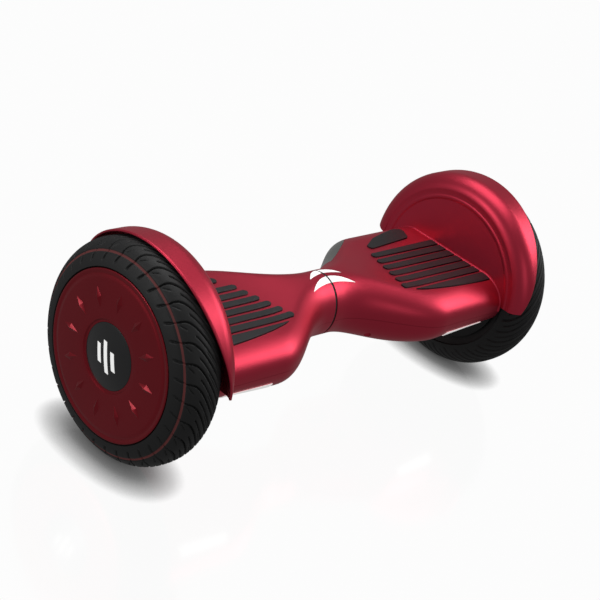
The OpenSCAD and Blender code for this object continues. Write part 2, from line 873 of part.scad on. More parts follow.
module stop_pin() {
    color(steel) translate([pin_x, 0, pivot_z + tube_bore / 2 - 2])
        cylinder(h = pin_top - tube_bore / 2 + 2, r = pin_r, $fn = screw_facets);
}

module centre_seal() {
    depth = 6;
    color(rubber_black) translate([-waist_face, 0, 0]) rotate([90, 0, 90])
        linear_extrude(waist_gap - side_gap) difference() {
            polygon(section(0, 0.6));
            polygon(section(0, depth));
        }
}

module battery_pack() {
    plug = 8;
    color(pack_blue) {
        slab(-battery_x - battery_len, -battery_x, -battery_w / 2, battery_w / 2, battery_floor, battery_top);
        slab(-battery_x - tiny, -battery_x + plug, battery_w / 2 - 24, battery_w / 2 - 10,
            battery_floor + plug, battery_floor + 2 * plug);
    }
}

module battery_strap() {
    w = battery_w / 2;
    color(rubber_black) difference() {
        slab(-strap_x - strap_w, -strap_x, -w - strap_t, w + strap_t, battery_floor - strap_t, plate_z);
        slab(-strap_x - strap_w - 1, -strap_x + 1, -w, w, battery_floor, battery_top);
    }
}

module main_board() {
    cap_h = 12;
    color(board_green) {
        slab(main_x, main_x + main_len, -main_w / 2, main_w / 2, main_z, main_z + board_t);
        for (y = [-1, 1]) translate([main_x + 16, y * 12, main_z - cap_h]) cylinder(h = cap_h, r = 7, $fn = round_facets);
        slab(main_x + 34, main_x + 74, -26, -14, main_z - 8, main_z);
        slab(main_x + 34, main_x + 74, 14, 26, main_z - 8, main_z);
        slab(main_x + 48, main_x + 60, -6, 6, main_z - 1.8, main_z);
    }
}

module power_button() {
    z0 = recess_z - flange_h - 0.8;
    color(rubber_black) translate([port_x, -port_y, z0])
        cylinder(h = flange_h + 0.8 + port_depth - flange_h - button_travel - 0.5, d = button_d, $fn = round_facets);
}

module button_housing() {
    color(steel) translate([port_x, -port_y, recess_z]) difference() {
        union() {
            translate([0, 0, -flange_h]) cylinder(h = flange_h, r = flange_r, $fn = round_facets);
            translate([0, 0, -tiny]) cylinder(h = housing_h, r = housing_r, $fn = round_facets);
        }
        translate([0, 0, -flange_h - 1]) cylinder(h = port_depth + 1, r = button_d / 2 + fit, $fn = round_facets);
    }
}

module charge_port() {
    ear_in = 4.3;
    ear_out = 6.5;
    color(steel) difference() {
        union() {
            translate([port_x, port_y, recess_z - flange_h]) cylinder(h = flange_h, r = flange_r, $fn = round_facets);
            translate([port_x, port_y, recess_z - tiny]) cylinder(h = housing_h, r = housing_r, $fn = round_facets);
            for (s = [-1, 1]) translate([0, port_y + s * (ear_in + ear_out) / 2, 0])
                slab(hinge_x - 2.2, port_x - flange_r + 3, -(ear_out - ear_in) / 2, (ear_out - ear_in) / 2,
                    hinge_z - 1.8, floor_z - side_gap);
        }
        translate([port_x, port_y, recess_z - flange_h - 1]) cylinder(h = port_depth + 1, d = port_bore, $fn = round_facets);
        translate([hinge_x, port_y - ear_out - 1, hinge_z]) rotate([-90, 0, 0])
            cylinder(h = 2 * ear_out + 2, r = 0.98, $fn = screw_facets);
        translate([port_x, port_y, recess_z - flange_h - 10]) cylinder(h = 10, r = cap_r + 2 * side_gap, $fn = round_facets);
    }
}

module charge_port_cap() {
    top = recess_z - flange_h - side_gap;
    plate = 2;
    knuckle_w = 8;
    color(rubber_black) {
        translate([port_x, port_y, top - plate]) cylinder(h = plate, r = cap_r, $fn = round_facets);
        translate([port_x, port_y, top - tiny]) cylinder(h = 3, r = port_bore / 2 - 1, $fn = round_facets);
        slab(hinge_x, port_x - cap_r + 2, port_y - knuckle_w / 2, port_y + knuckle_w / 2, top - plate, top - 0.4);
        translate([hinge_x, port_y - knuckle_w / 2, hinge_z]) rotate([-90, 0, 0])
            cylinder(h = knuckle_w, r = 1.6, $fn = screw_facets);
        translate([hinge_x, port_y - knuckle_w / 2 - 2, hinge_z]) rotate([-90, 0, 0])
            cylinder(h = knuckle_w + 4, r = 0.9, $fn = screw_facets);
    }
}

half(left) upper_shell();  // left_upper_shell
half(right) upper_shell();  // right_upper_shell
half(left) lower_shell(left);  // left_lower_shell
half(right) lower_shell(right);  // right_lower_shell
half(left) frame(left);  // left_frame
half(right) frame(right);  // right_frame
half(left) axle_clamp();  // left_axle_clamp
half(right) axle_clamp();  // right_axle_clamp
half(left) clamp_bolts();  // left_clamp_bolts
half(right) clamp_bolts();  // right_clamp_bolts
half(left) foot_pad();  // left_foot_pad
half(right) foot_pad();  // right_foot_pad
half(left) sensor_board();  // left_sensor_board
half(right) sensor_board();  // right_sensor_board
half(left) headlight_lens();  // left_headlight_lens
half(right) headlight_lens();  // right_headlight_lens
half(left) indicator_windows();  // left_indicator_windows
half(right) indicator_windows();  // right_indicator_windows
half(left) light_board();  // left_light_board
half(right) light_board();  // right_light_board
half(left) edge_strip();  // left_edge_strip
half(right) edge_strip();  // right_edge_strip
half(left) shell_screws();  // left_shell_screws
half(right) shell_screws();  // right_shell_screws
half(left) axle();  // left_axle
half(right) axle();  // right_axle
half(left) stator();  // left_stator
half(right) stator();  // right_stator
half(left) windings();  // left_windings
half(right) windings();  // right_windings
half(left) rim();  // left_rim
half(right) rim();  // right_rim
half(left) magnet_ring();  // left_magnet_ring
half(right) magnet_ring();  // right_magnet_ring
half(left) motor_cover();  // left_motor_cover
half(right) motor_cover();  // right_motor_cover
half(left) cover_screws();  // left_cover_screws
half(right) cover_screws();  // right_cover_screws
half(left) wheel_bearings();  // left_wheel_bearings
half(right) wheel_bearings();  // right_wheel_bearings
half(left) tyre();  // left_tyre
half(right) tyre();  // right_tyre
half(left) hub_cap();  // left_hub_cap
half(right) hub_cap();  // right_hub_cap
half(left) hub_badge();  // left_hub_badge
half(right) hub_badge();  // right_hub_badge
pivot_tube();
pivot_bushes();
pivot_retainer();
stop_pin();
centre_seal();
battery_pack();
battery_strap();
main_board();
power_button();
button_housing();
charge_port();
charge_port_cap();
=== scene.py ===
import json
import math

import bmesh
import bpy
import numpy as np
from mathutils import Matrix, Vector


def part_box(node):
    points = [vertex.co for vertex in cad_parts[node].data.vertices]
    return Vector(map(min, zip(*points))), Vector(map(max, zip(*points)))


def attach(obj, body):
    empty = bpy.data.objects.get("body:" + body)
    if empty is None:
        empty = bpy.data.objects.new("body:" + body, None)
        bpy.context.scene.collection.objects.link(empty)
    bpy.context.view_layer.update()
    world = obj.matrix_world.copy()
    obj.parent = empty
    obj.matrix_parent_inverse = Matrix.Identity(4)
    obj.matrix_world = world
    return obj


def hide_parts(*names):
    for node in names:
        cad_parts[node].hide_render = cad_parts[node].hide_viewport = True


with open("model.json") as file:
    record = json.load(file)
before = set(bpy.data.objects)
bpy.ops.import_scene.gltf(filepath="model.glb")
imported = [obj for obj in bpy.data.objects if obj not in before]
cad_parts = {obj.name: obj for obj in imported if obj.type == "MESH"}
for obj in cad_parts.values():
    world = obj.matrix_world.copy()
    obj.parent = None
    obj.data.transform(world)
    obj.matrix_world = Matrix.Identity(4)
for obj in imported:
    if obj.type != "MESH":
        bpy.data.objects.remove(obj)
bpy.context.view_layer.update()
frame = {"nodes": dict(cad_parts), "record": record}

MM = 0.001

# Places from the frame, in millimetres. +X half; the other half is its mirror image.
tyre_low, tyre_high = (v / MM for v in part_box("right_tyre"))
WHEEL_X = (tyre_low.x + tyre_high.x) / 2
TYRE_R = (tyre_high.z - tyre_low.z) / 2
AXLE_Z = (tyre_high.z + tyre_low.z) / 2
HALF_TYRE = (tyre_high.x - tyre_low.x) / 2
CAP_R = (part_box("right_hub_cap")[1].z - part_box("right_hub_cap")[0].z) / MM / 2
BADGE_R = (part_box("right_hub_badge")[1].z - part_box("right_hub_badge")[0].z) / MM / 2
FENDER_R = (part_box("right_upper_shell")[1] / MM).z - AXLE_Z
PARTING_Z = AXLE_Z - 2.5
PIVOT_Z = AXLE_Z + 4
DECK_Z = AXLE_Z + 34
WALL = 3.0
WAIST_FACE = 1.6
WAIST_HALF_W, WAIST_HALF_H = 35, 41
DECK_HALF_W, DECK_SHOULDER = 97.75, 39.3
BELLY = 12
AXLE_HOLE_R = 22
DISC_OUT = WHEEL_X - HALF_TYRE - 3.9
DISC_IN = DISC_OUT - WALL
BIG = 400.0


def smooth(t):
    u = np.clip(t, 0, 1)
    return u * u * (3 - 2 * u)


def mix(a, b, t):
    return a + (b - a) * t


def flare(x):
    return smooth((x - 12) / 129)


def belly(x):
    return BELLY * smooth((x - 15) / 83) * smooth((252 - x) / 154)


def section(x, inset, steps):
    """Cross section of the body at x as [y, z] points, moved inward by inset."""
    a = np.arange(steps) * 2 * np.pi / steps
    upper = np.sin(a) >= 0
    f = flare(x)
    power = 2 / np.where(upper, mix(2, 2.2, f), mix(2, 2.6, f))
    height = np.where(upper, mix(WAIST_HALF_H, DECK_SHOULDER, f), WAIST_HALF_H + belly(x)) - inset
    y = (mix(WAIST_HALF_W, DECK_HALF_W, f) - inset) * np.sign(np.cos(a)) * np.abs(np.cos(a)) ** power
    z = PIVOT_Z + height * np.sign(np.sin(a)) * np.abs(np.sin(a)) ** power
    crown = mix(PIVOT_Z + WAIST_HALF_H, DECK_Z, smooth((x - 10) / 120)) - inset
    soft = 0.9
    return np.c_[y, -soft * np.logaddexp(-z / soft, -crown / soft)]


# ---------------------------------------------------------------- meshes

def add(name, points, faces, materials=(), face_slots=None, flat=False):
    """A mesh object from points in millimetres."""
    mesh = bpy.data.meshes.new(name)
    mesh.from_pydata((np.asarray(points, float) * MM).tolist(), [], [list(map(int, f)) for f in faces])
    mesh.polygons.foreach_set("use_smooth", [not flat] * len(mesh.polygons))
    for m in materials:
        mesh.materials.append(m)
    if face_slots is not None:
        mesh.polygons.foreach_set("material_index", list(map(int, face_slots)))
    obj = bpy.data.objects.new(name, mesh)
    bpy.context.scene.collection.objects.link(obj)
    fix_normals(obj)
    return obj


def fix_normals(obj):
    bm = bmesh.new()
    bm.from_mesh(obj.data)
    bmesh.ops.recalc_face_normals(bm, faces=bm.faces)
    bm.to_mesh(obj.data)
    bm.free()


def remove(obj):
    mesh = obj.data
    bpy.data.objects.remove(obj)
    bpy.data.meshes.remove(mesh)


def apply_modifiers(obj):
    deps = bpy.context.evaluated_depsgraph_get()
    mesh = bpy.data.meshes.new_from_object(obj.evaluated_get(deps))
    old = obj.data
    obj.modifiers.clear()
    obj.data = mesh
    bpy.data.meshes.remove(old)


def boolean(obj, cutter, operation, keep=False):
    mod = obj.modifiers.new("bool", "BOOLEAN")
    mod.operation = operation
    mod.solver = "MANIFOLD"
    mod.object = cutter
    apply_modifiers(obj)
    if not keep:
        remove(cutter)
    return obj


def finish_mesh(obj, angle=32, bevel=0.0, segments=2):
    """Cleans a boolean result and sets its smooth and sharp edges."""
    bm = bmesh.new()
    bm.from_mesh(obj.data)
    bmesh.ops.remove_doubles(bm, verts=bm.verts, dist=0.02 * MM)
    bmesh.ops.dissolve_degenerate(bm, edges=bm.edges, dist=0.02 * MM)
    bm.to_mesh(obj.data)
    bm.free()
    if bevel:
        mod = obj.modifiers.new("bevel", "BEVEL")
        mod.width = bevel * MM
        mod.segments = segments
        mod.limit_method = "ANGLE"
        mod.angle_limit = math.radians(40)
        apply_modifiers(obj)
    mesh = obj.data
    mesh.polygons.foreach_set("use_smooth", [True] * len(mesh.polygons))
    mesh.set_sharp_from_angle(angle=math.radians(angle))
    mod = obj.modifiers.new("normals", "WEIGHTED_NORMAL")
    mod.keep_sharp = True
    apply_modifiers(obj)
    return obj


def clone(obj, name, mirrored=False):
    new = obj.copy()
    new.data = obj.data.copy()
    new.name = name
    new.data.name = name
    bpy.context.scene.collection.objects.link(new)
    if mirrored:
        new.data.transform(Matrix.Scale(-1, 4, (1, 0, 0)))
        new.data.flip_normals()
    return new


def paint(obj, *materials):
    obj.data.materials.clear()
    for m in materials:
        obj.data.materials.append(m)
    return obj


def box_mesh(name, low, high):
    x0, y0, z0 = low
    x1, y1, z1 = high
    points = [(x, y, z) for x in (x0, x1) for y in (y0, y1) for z in (z0, z1)]
    faces = [(0, 1, 3, 2), (4, 6, 7, 5), (0, 4, 5, 1), (2, 3, 7, 6), (0, 2, 6, 4), (1, 5, 7, 3)]
    return add(name, points, faces, flat=True)


def prisms(name, outlines, z0, z1):
    """Closed upright prisms over [x, y] outlines."""
    points, faces = [], []
    for outline in outlines:
        n, start = len(outline), len(points)
        points += [(p[0], p[1], z) for z in (z0, z1) for p in outline]
        faces.append(range(start + n - 1, start - 1, -1))
        faces.append(range(start + n, start + 2 * n))
        faces += [(start + i, start + (i + 1) % n, start + n + (i + 1) % n, start + n + i) for i in range(n)]
    return add(name, points, faces, flat=True)


def grid(name, rows, closed_rows=False, closed_columns=False, caps=False, **options):
    """A surface through rows of points."""
    rows = np.asarray(rows, float)
    m, n = rows.shape[:2]
    faces = []
    for i in range(m if closed_rows else m - 1):
        j = (i + 1) % m
        for k in range(n if closed_columns else n - 1):
            q = (k + 1) % n
            faces.append((i * n + k, i * n + q, j * n + q, j * n + k))
    if caps:
        faces.append(range(n - 1, -1, -1))
        faces.append(range((m - 1) * n, m * n))
    return add(name, rows.reshape(-1, 3), faces, **options)


def loft(name, a, b, inset, stations=58, steps=144):
    xs = a + (b - a) * (np.arange(stations + 1) / stations) ** 1.15
    rows = []
    for x in xs:
        s = section(x, inset, steps)
        rows.append(np.c_[np.full(len(s), x), s])
    return grid(name, rows, closed_columns=True, caps=True)


def wheel_point(r, a, phi):
    """Point at radius r and a outward from the tyre's centre plane, phi round from the top."""
    return np.stack([WHEEL_X + a + 0 * phi, r * np.sin(phi), AXLE_Z + r * np.cos(phi)], -1)


def turned(name, profile, steps, **options):
    """A closed profile of [r, a] points turned round the axle."""
    profile = np.asarray(profile, float)
    phi = np.arange(steps) * 2 * np.pi / steps
    rows = [wheel_point(profile[:, 0], profile[:, 1], np.full(len(profile), p)) for p in phi]
    return grid(name, rows, closed_rows=True, closed_columns=True, **options)


def cylinders(name, places, r, z0, z1, steps=32):
    a = np.arange(steps) * 2 * np.pi / steps
    return prisms(name, [[(x + r * math.cos(t), y + r * math.sin(t)) for t in a] for x, y in places], z0, z1)


def bezier(a, b, c, n):
    t = np.linspace(0, 1, n + 1)[:, None]
    return np.array(a) * (1 - t) ** 2 + 2 * np.array(b) * t * (1 - t) + np.array(c) * t ** 2


def hull(points):
    points = sorted(map(tuple, points))

    def side(order):
        out = []
        for p in order:
            while len(out) > 1 and ((out[-1][0] - out[-2][0]) * (p[1] - out[-2][1])
                                    - (out[-1][1] - out[-2][1]) * (p[0] - out[-2][0])) <= 1e-9:
                out.pop()
            out.append(p)
        return out[:-1]
    return side(points) + side(points[::-1])


def grown(outline, by):
    """An anticlockwise outline moved outward."""
    p = np.asarray(outline, float)
    d = np.roll(p, -1, 0) - p
    n = np.c_[d[:, 1], -d[:, 0]] / np.linalg.norm(d, axis=1)[:, None]
    m = n + np.roll(n, 1, 0)
    m /= np.maximum((m * m).sum(1) / 2, 0.35)[:, None]
    return (p + m * by).tolist()


# ---------------------------------------------------------------- materials

def srgb(*rgb):
    return tuple(((v / 255 + 0.055) / 1.055) ** 2.4 if v > 10 else v / 255 / 12.92 for v in rgb) + (1.0,)


def material(name, colour, other=None, metallic=0.0, rough=(0.4, 0.5), grain=900.0, bump=0.1, depth=0.05,
             mottle=30.0, coat=0.0, coat_rough=0.1, emission=0.0, transmission=0.0, flakes=0.0):
    """A finish whose colour, roughness and surface vary over it. depth is the bump's height in mm."""
    mat = bpy.data.materials.new(name)
    mat.use_nodes = True
    tree = mat.node_tree
    tree.nodes.clear()
    out = tree.nodes.new("ShaderNodeOutputMaterial")
    shader = tree.nodes.new("ShaderNodeBsdfPrincipled")
    tree.links.new(shader.outputs[0], out.inputs[0])
    where = tree.nodes.new("ShaderNodeTexCoord").outputs["Object"]

    def noise(scale, detail=3.0):
        node = tree.nodes.new("ShaderNodeTexNoise")
        node.inputs["Scale"].default_value = scale
        node.inputs["Detail"].default_value = detail
        tree.links.new(where, node.inputs["Vector"])
        return node.outputs["Fac"]

    wide = noise(mottle, 4.0)
    mixer = tree.nodes.new("ShaderNodeMix")
    mixer.data_type = "RGBA"
    mixer.inputs["A"].default_value = colour
    mixer.inputs["B"].default_value = other or tuple(c * 0.86 for c in colour[:3]) + (1.0,)
    tree.links.new(wide, mixer.inputs["Factor"])
    tree.links.new(mixer.outputs["Result"], shader.inputs["Base Color"])
    span = tree.nodes.new("ShaderNodeMapRange")
    span.inputs["To Min"].default_value = rough[0]
    span.inputs["To Max"].default_value = rough[1]
    tree.links.new(noise(mottle * 5, 5.0), span.inputs["Value"])
    tree.links.new(span.outputs[0], shader.inputs["Roughness"])
    height = noise(grain, 2.0)
    if flakes:
        cells = tree.nodes.new("ShaderNodeTexVoronoi")
        cells.inputs["Scale"].default_value = flakes
        tree.links.new(where, cells.inputs["Vector"])
        height = cells.outputs["Distance"]
    relief = tree.nodes.new("ShaderNodeBump")
    relief.inputs["Strength"].default_value = bump
    relief.inputs["Distance"].default_value = depth * MM
    tree.links.new(height, relief.inputs["Height"])
    tree.links.new(relief.outputs[0], shader.inputs["Normal"])
    shader.inputs["Metallic"].default_value = metallic
    shader.inputs["Coat Weight"].default_value = coat
    shader.inputs["Coat Roughness"].default_value = coat_rough
    shader.inputs["Transmission Weight"].default_value = transmission
    shader.inputs["IOR"].default_value = 1.5
    if emission:
        shader.inputs["Emission Color"].default_value = colour
        shader.inputs["Emission Strength"].default_value = emission
    return mat


SHELL_RED = material("satin_red_paint", (0.62, 0.036, 0.074, 1), (0.56, 0.030, 0.064, 1), metallic=0.84,
                     rough=(0.37, 0.42), flakes=2600, bump=0.12, depth=0.03, mottle=9, coat=0.06,
                     coat_rough=0.3)
CAP_RED = material("dark_red_paint", (0.30, 0.009, 0.020, 1), (0.24, 0.006, 0.014, 1), metallic=0.75,
                   rough=(0.36, 0.42), flakes=2600, bump=0.12, depth=0.03, mottle=14, coat=0.15,
                   coat_rough=0.25)
RUBBER = material("moulded_rubber", srgb(20, 20, 22), srgb(15, 15, 17), rough=(0.55, 0.7),
                  grain=1500, bump=0.3, depth=0.08)
TYRE = material("tyre_rubber", srgb(20, 20, 21), srgb(14, 14, 15), rough=(0.5, 0.66), grain=900, bump=0.25,
                depth=0.1, mottle=22)
TREAD_LINE = material("tread_line", srgb(128, 56, 54), srgb(92, 40, 40), rough=(0.6, 0.75),
                      grain=900, bump=0.2)
PAD = material("pad_rubber", srgb(36, 36, 38), srgb(26, 26, 28), rough=(0.42, 0.55), grain=1400, bump=0.35,
               depth=0.07, mottle=25)
BADGE = material("badge_black", srgb(22, 22, 24), srgb(16, 16, 18), rough=(0.3, 0.36), grain=600, bump=0.05,
                 coat=0.4, coat_rough=0.15)
LENS = material("smoked_lens", srgb(100, 102, 96), srgb(70, 72, 68), rough=(0.14, 0.2), grain=300, bump=0.04,
                coat=0.7, coat_rough=0.08, transmission=0.25)
LIGHT = material("white_light_guide", srgb(250, 250, 248), srgb(238, 238, 238), rough=(0.28, 0.36), grain=500,
                 bump=0.05, emission=0.5, coat=0.3)
CAST = material("cast_aluminium", srgb(156, 158, 162), srgb(134, 136, 140), metallic=0.9, rough=(0.4, 0.55),
                grain=700, bump=0.3, depth=0.1)
MOTOR = material("motor_paint", srgb(22, 23, 25), srgb(16, 17, 19), metallic=0.2,
                 rough=(0.45, 0.55), grain=800, bump=0.2)
STEEL = material("machined_steel", srgb(150, 152, 156), srgb(128, 130, 134), metallic=1.0, rough=(0.24, 0.36),
                 grain=500, bump=0.1)
BOARD = material("solder_mask", srgb(28, 88, 52), srgb(20, 70, 42), rough=(0.3, 0.42), grain=1200, bump=0.2)
COPPER = material("enamelled_copper", srgb(186, 104, 50), srgb(150, 78, 36), metallic=0.9, rough=(0.25, 0.4),
                  grain=1200, bump=0.4, depth=0.2)
BRONZE = material("sintered_bronze", srgb(176, 122, 66), srgb(150, 100, 54), metallic=0.9, rough=(0.4, 0.5),
                  grain=1600, bump=0.3)
WRAP = material("shrink_wrap", srgb(38, 74, 118), srgb(30, 60, 100), rough=(0.22, 0.36), grain=60, bump=0.4,
                depth=0.6)
BY_SLOT = {
    "shell_red": SHELL_RED, "cap_red": CAP_RED, "rubber_black": RUBBER, "tyre_black": TYRE, "pad_grey": PAD,
    "badge_black": BADGE, "smoke_lens": LENS, "light_white": LIGHT,
    "cast_aluminium": CAST, "steel": STEEL, "motor_black": MOTOR,
    "board_green": BOARD, "copper": COPPER, "bronze": BRONZE, "pack_blue": WRAP, "button_black": RUBBER,
}

# Every CAD node starts with its slot's finish
for part in frame["record"]["subparts"]:
    paint(frame["nodes"][part["node"]], BY_SLOT[part["material_slot"]])


def place(obj, node, body, slot):
    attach(obj, body)
    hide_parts(node)
    return obj


def both(obj, node, body, slot):
    """Places the right-hand piece and its mirror image."""
    obj.name = "right_" + node + "_piece"
    left = clone(obj, "left_" + node + "_piece", mirrored=True)
    place(obj, "right_" + node, "right_" + body, slot)
    place(left, "left_" + node, "left_" + body, slot)


# ---------------------------------------------------------------- body shells

BAR_END = DISC_IN - 3.5
BAR_HALF = 4.4
BAR_END_HALF = 5.8
BARS = 6
SLOT_GAP = 0.45


def bar(i, grow):
    """Outline of the pad's bar i."""
    y, tip = 25.5 - 14.8 * i, 119 - 4.6 * i + BAR_HALF
    h, end = BAR_HALF + grow, BAR_END_HALF + grow
    arc = [(tip - h * math.sin(a), y + h * math.cos(a)) for a in np.linspace(0, math.pi, 15)]
    return [(BAR_END + grow, y - end), (BAR_END + grow, y + end)] + arc


def front_cap(grow):
    circle = np.linspace(0, 2 * math.pi, 40, endpoint=False)
    return hull([(x + (r + grow) * math.cos(a), y + (r + grow) * math.sin(a))
                 for x, y, r in ((138, 45.5, 5), (159, 57.5, 4), (212, 66, 9), (209, 53, 6)) for a in circle])


def crescent(grow):
    outline = bezier((112, -58.5), (150, -71), (BAR_END, -73), 24).tolist() + [[BAR_END, -58.5]]
    return grown(outline, grow) if grow else outline


def stripe(front, front_bend, tip, back_bend, back):
    return bezier(front, front_bend, tip, 16).tolist() + bezier(tip, back_bend, back, 16)[1:].tolist()


def lens_outline():
    return bezier((54, 36), (86, 52), (128, 82), 24).tolist() + [[128, 130], [40, 130], [48, 46]]


STRIPES = [stripe((0, 12), (14, 11), (27, -4.5), (13, 0.5), (0, 2.2)),
           stripe((0, -5.5), (18, -6), (36.5, -22.5), (18, -15), (0, -15.5))]


LIP_LOW, LIP_REACH = 4.5, 46.5
FENDER_ROUND = 22.0
FENDER_ANGLE = 86


def lip_x(z):
    """How far out the fender's lip lies at height z."""
    u = np.clip((z - AXLE_Z) / FENDER_R, 0, 1)
    return DISC_IN + LIP_LOW + (LIP_REACH - LIP_LOW) * (0.65 * u + 0.35 * np.sin(np.pi / 2 * u))


def fender_mesh():
    """The arched fender: disc, rounded corner and skirt, with a rolled lip."""
    big_round, steps, path_points = FENDER_ROUND, 181, 34
    centre_r, centre_x = FENDER_R - big_round, DISC_IN + big_round
    disc_r = np.concatenate([np.linspace(20, 98, 11), np.linspace(99, 107, 13), [centre_r]])
    rows = []
    for t in np.linspace(-1, 1, steps):
        top = math.radians(FENDER_ANGLE * t)
        lip = float(lip_x(AXLE_Z + FENDER_R * math.cos(top)))
        end = math.acos(max((centre_x - lip) / big_round, 0))
        total = big_round * end + max(lip - centre_x, 0) - 1.5
        way = np.linspace(0, total, path_points)[1:]
        a = np.minimum(way / big_round, math.pi / 2)
        run = np.maximum(way - big_round * math.pi / 2, 0)
        # The disc's middle stands proud of a shallow ring round it
        step = 0.8 * (1 - smooth((disc_r - 99.5) / 2.5)) + 0.5 * smooth((disc_r - 104) / 2)
        outer = np.r_[np.c_[disc_r, DISC_IN + step],
                      np.c_[centre_r + big_round * np.sin(a), centre_x - big_round * np.cos(a) + run]]
        small = big_round - WALL
        inner = np.r_[np.c_[disc_r, np.full(len(disc_r), DISC_OUT)],
                      np.c_[centre_r + small * np.sin(a), centre_x - small * np.cos(a) + run]]
        edge, back = outer[-1], inner[-1]
        middle, half = (edge + back) / 2, (edge - back) / 2
        along = np.array([-half[1], half[0]])
        if along[1] < 0:
            along = -along
        roll = [middle + half * math.cos(q) + along * math.sin(q) for q in np.linspace(0, math.pi, 7)[1:-1]]
        profile = np.r_[outer, roll, inner[::-1]]
        share = np.clip((profile[:, 0] - 90) / 43, 0, 1)
        phi = math.radians(FENDER_ANGLE) * t * (1 + 0.020 * np.sin(np.pi * share))
        rows.append(np.stack([profile[:, 1], profile[:, 0] * np.sin(phi),
                              AXLE_Z + profile[:, 0] * np.cos(phi)], -1))
    return grid("fender", rows, closed_columns=True, caps=True)


def root_fillet(radius=1.6, steps=144, turns=8):
    """The hollow fillet where the deck runs into the fender's disc."""
    s = section(DISC_IN, 0, steps)
    d = np.roll(s, -1, 0) - np.roll(s, 1, 0)
    n = np.c_[d[:, 1], -d[:, 0]] / np.linalg.norm(d, axis=1)[:, None]
    rows = []
    for t in np.linspace(0, math.pi / 2, turns):
        p = s + n * radius * (1 - math.cos(t))
        rows.append(np.c_[np.full(steps, DISC_IN - radius * (1 - math.sin(t))), p])
    rows.append(np.c_[np.full(steps, DISC_IN + 1.5), s + n * radius])
    rows.append(np.c_[np.full(steps, DISC_IN + 1.5), s - n * 1.5])
    rows.append(np.c_[np.full(steps, DISC_IN - radius), s - n * 1.5])
    return grid("fillet", rows, closed_rows=True, closed_columns=True)


SEAM = 0.3
SCREWS = [(x, s * y) for x, y in ((64, 42.5), (150, 84), (228, 84)) for s in (-1, 1)]
outer = loft("outer", WAIST_FACE, DISC_OUT, 0)
skin = clone(outer, "skin")
boolean(skin, loft("inner", 0, DISC_OUT - WALL, WALL), "DIFFERENCE")


def above():
    return box_mesh("above", (-BIG, -BIG, PARTING_Z + SEAM / 2), (BIG, BIG, BIG))


def below():
    return box_mesh("below", (-BIG, -BIG, -BIG), (BIG, BIG, PARTING_Z - SEAM / 2))


def axle_hole():
    a = np.arange(64) * 2 * np.pi / 64
    rows = [np.c_[np.full(64, x), AXLE_HOLE_R * np.sin(a), AXLE_Z + AXLE_HOLE_R * np.cos(a)]
            for x in (DISC_IN - 6, DISC_OUT + 2)]
    return grid("hole", rows, closed_columns=True, caps=True)


upper = clone(skin, "upper")
boolean(upper, above(), "INTERSECT")
fender = fender_mesh()
boolean(upper, fender, "UNION")
fillet = root_fillet()
boolean(fillet, above(), "INTERSECT")
boolean(upper, fillet, "UNION")
boolean(upper, axle_hole(), "DIFFERENCE")
slots = [bar(i, SLOT_GAP) for i in range(BARS)] + [front_cap(SLOT_GAP), crescent(SLOT_GAP)]
boolean(upper, prisms("slots", slots, DECK_Z - 12, BIG), "DIFFERENCE")
boolean(upper, prisms("lens_cut", [grown(lens_outline(), 0.25)], PIVOT_Z + 5.8, BIG), "DIFFERENCE")
boolean(upper, prisms("stripe_cut", STRIPES, PIVOT_Z + 10, BIG), "DIFFERENCE")
paint(upper, SHELL_RED)
finish_mesh(upper)
both(upper, "upper_shell", "half", "shell_red")

lower = clone(skin, "lower")
boolean(lower, below(), "INTERSECT")
columns = cylinders("columns", SCREWS, 6.5, 60, PARTING_Z - SEAM / 2)
boolean(columns, outer, "INTERSECT", keep=True)
boolean(lower, columns, "UNION")
boolean(lower, cylinders("bores", SCREWS, 4.2, 0, AXLE_Z - 15), "DIFFERENCE")
boolean(lower, cylinders("pilots", SCREWS, 1.7, 0, PARTING_Z + 2), "DIFFERENCE")
boolean(lower, axle_hole(), "DIFFERENCE")
STRIP = ((DISC_IN - 92, -99, PARTING_Z - 22), (DISC_IN - 22, 20 - DECK_HALF_W, PARTING_Z - 14))
boolean(lower, box_mesh("strip_cut", *STRIP), "DIFFERENCE")
left_lower = clone(lower, "left_lower_shell_piece", mirrored=True)
button_low, button_high = (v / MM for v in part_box("button_housing"))
FLANGE_R = 11.3
PORT = [((button_low.x + button_high.x) / 2, (button_low.y + button_high.y) / 2 * s) for s in (1, -1)]
boolean(lower, cylinders("recess", PORT, FLANGE_R, 0, button_low.z + 2.2, 64), "DIFFERENCE")
boolean(lower, cylinders("port_holes", PORT, 9.8, 0, 98, 64), "DIFFERENCE")
for piece, side in ((lower, "right"), (left_lower, "left")):
    piece.name = side + "_lower_shell_piece"
    paint(piece, SHELL_RED)
    finish_mesh(piece)
    place(piece, side + "_lower_shell", side + "_half", "shell_red")

lens = clone(skin, "lens")
boolean(lens, prisms("lens_block", [lens_outline()], PIVOT_Z + 6, BIG), "INTERSECT")
paint(lens, LENS)
both(finish_mesh(lens), "headlight_lens", "half", "smoke_lens")

windows = clone(skin, "windows")
boolean(windows, prisms("window_block", STRIPES, PIVOT_Z + 10, BIG), "INTERSECT")
paint(windows, LIGHT)
both(finish_mesh(windows), "indicator_windows", "half", "light_white")

strip = loft("strip", WAIST_FACE, DISC_OUT, -1.0)
boolean(strip, loft("strip_back", 0, DISC_OUT + 3, WALL), "DIFFERENCE")
boolean(strip, box_mesh("strip_block", *STRIP), "INTERSECT")
paint(strip, LIGHT)
both(finish_mesh(strip), "edge_strip", "half", "light_white")

# ---------------------------------------------------------------- foot pads

